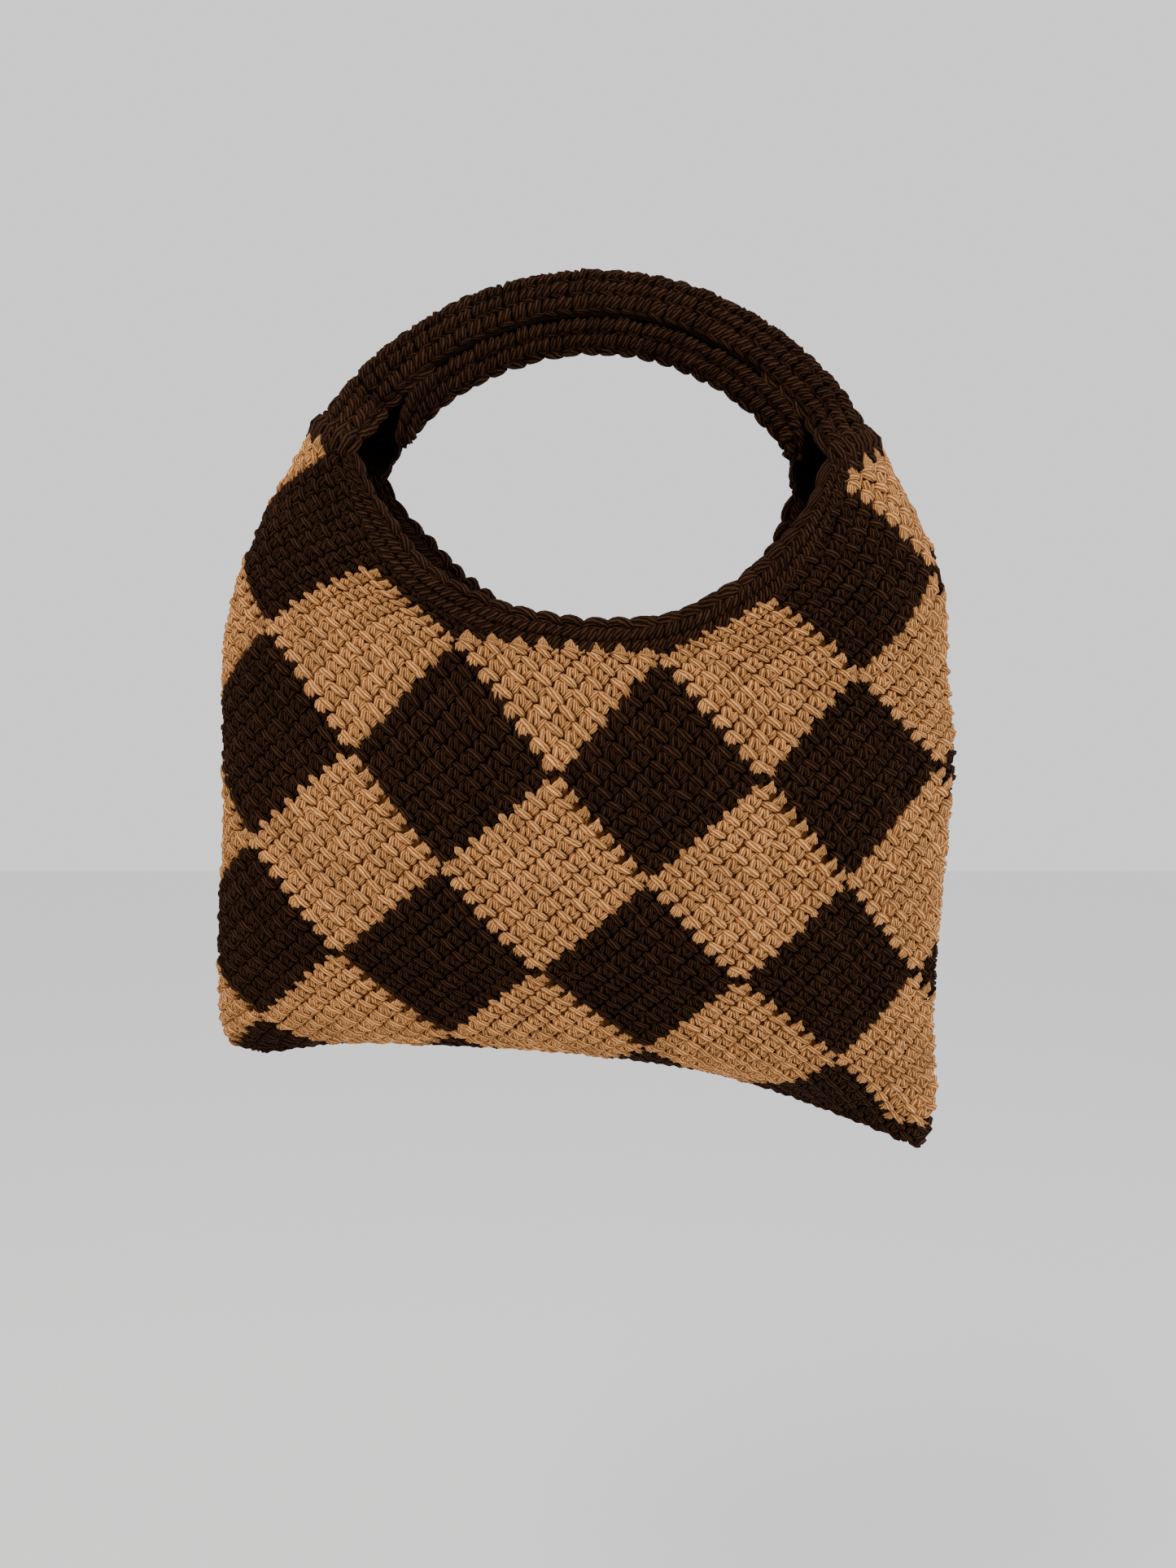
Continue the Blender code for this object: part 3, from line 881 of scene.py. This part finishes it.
# %% The inside of the body
LAST_TAN_INSIDE = 42
INSIDE_SINK = 0.0008
tan_inside = tan_here & (fabric[:, 1] <= LAST_TAN_INSIDE)
for yarn_name, yarn, chosen in (("tan", tan_yarn, tan_inside), ("brown", brown_yarn, ~tan_inside)):
    chosen = chosen & (fabric[:, 1] >= 1)
    spots = np.zeros((int(chosen.sum()), 3))
    spots[:, :2] = fabric[chosen] * (UNIT_PITCH, ROW_PITCH)
    spots[:, 2] = -WALL + INSIDE_SINK
    seed += 2
    work = lay(f"inside_{yarn_name}", inner_stitch, spots, yarn, seed, turn=(0, math.pi, 0))
    put_places(work, wrap_on_body(flat_places(work)))
    finish_piece(work, yarn_name + "_yarn", "pouch")

# %% The heart of the body


def shell(name, outer, inner, closed_round, shares=None):
    """A thin closed wall between two grids of places."""
    rows, columns = outer.shape[:2]
    verts = np.concatenate([outer.reshape(-1, 3), inner.reshape(-1, 3)])
    back = rows * columns
    faces = []
    spans = columns if closed_round else columns - 1
    for j in range(rows - 1):
        for i in range(spans):
            k = (i + 1) % columns
            low = j * columns
            high = low + columns
            faces.append((low + i, low + k, high + k, high + i))
            faces.append((back + low + i, back + high + i, back + high + k, back + low + k))
    for i in range(spans):
        k = (i + 1) % columns
        top = (rows - 1) * columns
        faces.append((i, back + i, back + k, k))
        faces.append((top + i, top + k, back + top + k, back + top + i))
    if not closed_round:
        for j in range(rows - 1):
            low = j * columns
            high = low + columns
            end = columns - 1
            faces.append((low, high, back + high, back + low))
            faces.append((low + end, back + low + end, back + high + end, high + end))
    mesh = bpy.data.meshes.new(name)
    mesh.from_pydata([tuple(v) for v in verts], [], faces)
    layer = mesh.attributes.new(TAN_SHARE, "FLOAT", "POINT")
    if shares is not None:
        layer.data.foreach_set("value", np.tile(shares.ravel(), 2))
    mesh.materials.append(heart)
    mesh.shade_smooth()
    piece = bpy.data.objects.new(name, mesh)
    bpy.context.scene.collection.objects.link(piece)
    print(name, len(mesh.polygons) * 2, "triangles")
    return piece


HEART_OUTER = -0.0021
HEART_INNER = -0.0029
HEART_LEVELS = 76
heart_units = np.arange(0, UNITS_ROUND, 0.5) - UNITS_ROUND / 4
climb = np.linspace(0, 1, HEART_LEVELS + 1)
heart_x = np.tile(heart_units, (HEART_LEVELS + 1, 1))
heart_y = -UNDER_ROWS + (mouth_row(heart_x) + UNDER_ROWS) * climb[:, None]
flat_x = heart_x.ravel()
flat_y = heart_y.ravel()
outer, inner = (
    body.wrap(flat_x, flat_y, np.full(flat_x.shape, height)).reshape(*heart_x.shape, 3)
    for height in (HEART_OUTER, HEART_INNER)
)
heart_shares = worked_tan(heart_x + lean(heart_y), heart_y).astype(float)
body_heart = shell("body_heart", outer, inner, True, heart_shares)
finish_piece(body_heart, "tan_yarn", "pouch")

# %% [markdown]
# ## The rims
#
# The band along each mouth has two rows of bumps on each face and ends in a rope-like edge, one long
# hump a unit. Its stitches are spaced by length along the edge, which is longer on the slopes.

# %% Rims
ROPE_HUMP = (
    [
        (-5.3, -0.9, -0.9), (-3.5, 0.2, 0.0), (-1.4, 0.9, 0.4),
        (1.4, 0.6, 0.4), (3.7, -0.4, 0.1), (5.4, -1.5, -0.9),
    ],
    1.7, 6, 8, 0.62,
)
ROPE_UNDER = (
    [(-3.4, -2.2, -0.6), (-1.5, -1.7, 0.5), (1.6, -2.0, 0.3), (3.4, -2.8, -0.8)],
    1.2, 5, 5, 0.6,
)
SMOOTH_ROPE = (
    ([(-5.6, 0.3, -0.8), (-2.6, 0.9, 0.2), (1.6, 0.5, 0.4), (5.6, -0.9, -0.8)], 1.5, 6, 6, 0.7),
    ([(-5.6, -1.0, -0.9), (-2.6, -0.9, 0.3), (1.6, -1.2, 0.4), (5.6, -2.6, -0.9)], 1.4, 6, 6, 0.7),
)
rope_stitch = stitch_mesh("rope_stitch", (ROPE_HUMP, ROPE_UNDER))
smooth_rope = stitch_mesh("smooth_rope", SMOOTH_ROPE)
bump_stitch = stitch_mesh("bump_stitch", (
    ([(-2.6, -2.1, -1.8), (-1.6, -0.6, -0.1), (-0.6, 0.9, -0.1), (0.2, 2.5, -1.8)], 1.6, 6, 4, 0.7),
    ([(0.4, -2.5, -1.8), (1.3, -0.9, 0.1), (2.2, 0.7, 0.0), (3.0, 2.2, -1.8)], 1.65, 6, 4, 0.7),
    ([(-3.4, -2.2, -1.6), (-1.2, -2.6, -0.7), (1.3, -2.8, -0.7), (3.5, -3.1, -1.6)], 1.1, 4, 4, 0.65),
))
ROPE_HEIGHT = 0.0088
ROPE_INSET = 0.0014
ROPE_PITCH = 0.0092
RIM_PITCH = 0.0062
RIM_ROWS = (0.0004, 0.0048)
SMOOTH_FROM_UNIT = 2
RIM_HEART_TOP = 0.0054
RIM_HEART_INSET = 0.0014
RIM_SEED = 60
RIM_RISE = 0.0045
# Each shift is a fabric column, how far the edge moves there, and over how many columns it fades.
FRONT_SHIFTS = ((-8, -0.0018, 3.5),)
BACK_SHIFTS = ((22, 0.0025, 4.0), (38, 0.0050, 4.0))


def wrap_on_rim(cloth, shifts, flat):
    """The worn mouth is uneven: its edge sags or stands by a few millimetres around certain units."""
    unit = np.interp(flat[:, 0], cloth.across, cloth.units)
    shift = np.zeros(len(flat))
    for centre, reach, spread in shifts:
        shift += reach * np.exp(-(((unit - centre) / spread) ** 2))
    height = flat[:, 1] + shift * (flat[:, 1] / RIM_HEIGHT).clip(0) + RIM_RISE * rise(unit)
    return cloth.wrap(flat[:, 0], height, flat[:, 2])


def make_rim(name, cloth, node, shifts, smooth_from=math.inf):
    """Two rows of bumps on each face under a rope, which is a smooth one beyond a fabric column."""

    def even_places(pitch):
        count = round(cloth.across[-1] / pitch)
        return (np.arange(count) + 0.5) * cloth.across[-1] / count

    ropes = even_places(ROPE_PITCH)
    smooth = np.interp(ropes, cloth.across, cloth.units) > smooth_from
    bumps = even_places(RIM_PITCH)
    pieces = []
    for suffix, out, turn in (("out", -ROPE_INSET, 0.0), ("in", -WALL + ROPE_INSET, math.pi)):
        pieces.append((f"rope_{suffix}", rope_stitch, ropes[~smooth], ROPE_HEIGHT, out, turn))
        if smooth.any():
            pieces.append((f"smooth_{suffix}", smooth_rope, ropes[smooth], ROPE_HEIGHT, out, turn))
    for number, height in enumerate(RIM_ROWS):
        pieces.append((f"row_{number}_out", bump_stitch, bumps, height, 0.0, 0.0))
        pieces.append((f"row_{number}_in", bump_stitch, bumps, height, -WALL, math.pi))
    for number, (part, stitch, places, height, out, turn) in enumerate(pieces):
        spots = np.stack([places, places * 0 + height, places * 0 + out], axis=1)
        seed = RIM_SEED + 2 * number
        work = lay(f"{name}_{part}", stitch, spots, brown_yarn, seed, turn=(0, turn, 0))
        put_places(work, wrap_on_rim(cloth, shifts, flat_places(work)))
        finish_piece(work, "brown_yarn", node)
    xs, ys = np.meshgrid(cloth.across, np.linspace(0.0, RIM_HEART_TOP, 4))
    grids = []
    for height in (-RIM_HEART_INSET, -WALL + RIM_HEART_INSET):
        flat = np.stack([xs.ravel(), ys.ravel(), np.full(xs.size, height)], axis=1)
        grids.append(wrap_on_rim(cloth, shifts, flat).reshape(*xs.shape, 3))
    finish_piece(shell(name + "_heart", grids[0], grids[1], False), "brown_yarn", node)


make_rim("rim_front", rim_front, "mouth_rim_front", FRONT_SHIFTS, SMOOTH_FROM_UNIT)
make_rim("rim_back", rim_back, "mouth_rim_back", BACK_SHIFTS)

# %% [markdown]
# ## The handle
#
# The strap was crocheted flat in long rows, folded round and sewn edge to edge, so its rows run along
# it and its seam is a deep groove on the front. Each unit of a row is a bump of two leaning strands
# with a lying strand at its foot. A rope like the rims' runs along the fold and along the underside.

# %% Handle
HANDLE_ROWS = 12
HANDLE_PITCH = 0.0064
HANDLE_ROW_PITCH = 0.00567
STRAP_GIRTH = HANDLE_ROWS * HANDLE_ROW_PITCH
EDGE_ROWS = (0, 6)
HANDLE_STAGGER = 0.25
HANDLE_ROPE_SINK = 0.0011
HANDLE_SWAY = 0.18
HANDLE_SEED = 90
join_stitch = stitch_mesh("join_stitch", (
    ([(0.0, -4.6, -2.4), (0.3, -2.6, 0.1), (0.0, 2.2, 0.3), (-0.3, 4.2, -2.4)], 1.85, 6, 5, 0.6),
))


def wrap_on_handle(flat):
    return handle.wrap(flat[:, 0], flat[:, 1] / STRAP_GIRTH, flat[:, 2])


def handle_row(row, pitch):
    """Even places along one row. Row 0 lies on the fold, and row 6 opposite, on the underside."""
    count = round(handle_length / pitch)
    x = (np.arange(count) + 0.5 + HANDLE_STAGGER * (row % 2)) * handle_length / count
    x = x[x < handle_length]
    y = (row / HANDLE_ROWS - SEAM_SHIFT) * STRAP_GIRTH
    return np.stack([x, np.full(len(x), y), x * 0], axis=1)


bump_rows = [row for row in range(-3, 9) if row not in EDGE_ROWS]
spots = np.concatenate([handle_row(row, HANDLE_PITCH) for row in bump_rows])
ropes = np.concatenate([handle_row(row, ROPE_PITCH) for row in EDGE_ROWS])
ropes[:, 2] -= HANDLE_ROPE_SINK
for name, stitch, places in (("stitches", bump_stitch, spots), ("ropes", rope_stitch, ropes)):
    work = lay(f"handle_{name}", stitch, places, brown_yarn, HANDLE_SEED, sway=HANDLE_SWAY)
    put_places(work, wrap_on_handle(flat_places(work)))
    finish_piece(work, "brown_yarn", "handle")

# %% The handle's edges, open at both shoulders
EDGE_PITCH = 0.0092
EDGE_STITCHES = 6
EDGE_START = 0.3
EDGE_SEED = 97
for name, edge, turn in (("front", -0.5, math.pi), ("back", 0.5, 0.0)):
    runs = (np.arange(EDGE_STITCHES) + EDGE_START) * EDGE_PITCH
    along = np.concatenate([runs, handle_length - runs])
    spots = np.zeros((len(along), 3))
    spots[:, 0] = along
    spots[:, 1:] = (edge * STRAP_GIRTH, -WALL / 2)
    work = lay(f"handle_{name}_edges", rope_stitch, spots, brown_yarn, EDGE_SEED, turn=(0, 0, turn))
    put_places(work, wrap_on_handle(flat_places(work)))
    finish_piece(work, "brown_yarn", "handle")

# %% The overcast stitches that join the handle to the shoulders
JOIN_COUNT = 15
JOIN_FROM_END = 0.0035
JOIN_LIFT = 0.0003
JOIN_SEED = 95
quarter_turn = (0, 0, math.pi / 2)
for name, x in (("left", JOIN_FROM_END), ("right", handle_length - JOIN_FROM_END)):
    rounds = (np.arange(JOIN_COUNT) + 0.5 - JOIN_COUNT / 2) * STRAP_GIRTH / JOIN_COUNT
    spots = np.stack([np.full(JOIN_COUNT, x), rounds, np.full(JOIN_COUNT, JOIN_LIFT)], axis=1)
    work = lay(f"{name}_join", join_stitch, spots, brown_yarn, JOIN_SEED, turn=quarter_turn)
    put_places(work, wrap_on_handle(flat_places(work)))
    finish_piece(work, "brown_yarn", "handle")

# %% The heart of the handle
HANDLE_HEART_OUTER = -0.0017
HANDLE_HEART_STEPS = 24
xs, ys = np.meshgrid(handle.across, np.linspace(-0.5, 0.5, HANDLE_HEART_STEPS + 1))
outer, inner = (
    handle.wrap(xs.ravel(), ys.ravel(), np.full(xs.size, height)).reshape(*xs.shape, 3)
    for height in (HANDLE_HEART_OUTER, -WALL)
)
finish_piece(shell("handle_heart", outer, inner, False), "brown_yarn", "handle")

# %% [markdown]
# ## Floor, light and camera
#
# The bag hangs above a plain pale floor in soft white light. A warm lamp stands to the upper left, and a
# cooler, weaker one to the right.
# The camera looks straight at it from nearby, from the height of the mouth's lower edge.

# %% Stage
FLOOR_DROP = 0.34
FLOOR_REACH = 6
FLOOR_COLOUR = (0.86, 0.86, 0.86, 1.0)
WORLD_STRENGTH = 1.12
floor_mesh = bpy.data.meshes.new("floor")
floor_z = cad_box[0][2] - FLOOR_DROP
corners = ((-1, -1), (1, -1), (1, 1), (-1, 1))
floor_corners = [(x * FLOOR_REACH, y * FLOOR_REACH, floor_z) for x, y in corners]
floor_mesh.from_pydata(floor_corners, [], [(0, 1, 2, 3)])
floor = bpy.data.objects.new("floor", floor_mesh)
bpy.context.scene.collection.objects.link(floor)
pale = Finish("pale_floor", 0.9)
pale.set(pale.shader, {"Base Color": FLOOR_COLOUR})
floor_mesh.materials.append(pale.material)

world = bpy.data.worlds.new("studio")
world.use_nodes = True
background = world.node_tree.nodes["Background"]
background.inputs["Color"].default_value = (1.0, 1.0, 1.0, 1.0)
background.inputs["Strength"].default_value = WORLD_STRENGTH
bpy.context.scene.world = world


def area_light(name, place, target, size, watts, colour):
    light = bpy.data.lights.new(name, "AREA")
    light.size = size
    light.energy = watts
    light.color = colour
    lamp = bpy.data.objects.new(name, light)
    direction = np.array(target) - np.array(place)
    lamp.location = place
    lamp.rotation_euler = (
        math.acos(-direction[2] / np.linalg.norm(direction)),
        0.0,
        math.atan2(direction[1], direction[0]) - math.pi / 2,
    )
    bpy.context.scene.collection.objects.link(lamp)


middle = (0.0, 0.0, -0.15)
area_light("key", (-0.5, -0.75, 0.95), middle, 0.5, 12.0, (1.0, 0.93, 0.82))
area_light("fill", (1.1, -0.8, 0.0), middle, 0.7, 8.0, (0.78, 0.88, 1.0))

EYE = (0.0, -0.45, -0.165)
FOCAL_PIXELS = 1446
PHOTO_HEIGHT = 1927
camera_data = bpy.data.cameras.new("camera")
camera_data.sensor_width = 36.0
camera_data.lens = camera_data.sensor_width * FOCAL_PIXELS / PHOTO_HEIGHT
camera_data.clip_start = 0.01
camera = bpy.data.objects.new("camera", camera_data)
camera.location = EYE
camera.rotation_euler = (math.pi / 2, 0, 0)
bpy.context.scene.collection.objects.link(camera)
bpy.context.scene.camera = camera

# %% The stitch patterns removed, and the end
for stitch in (
    body_stitch, edge_stitch, left_tooth, mouth_tooth, fan, fray, inner_stitch,
    rope_stitch, smooth_rope, bump_stitch, join_stitch,
):
    bpy.data.objects.remove(stitch)
bpy.context.view_layer.update()
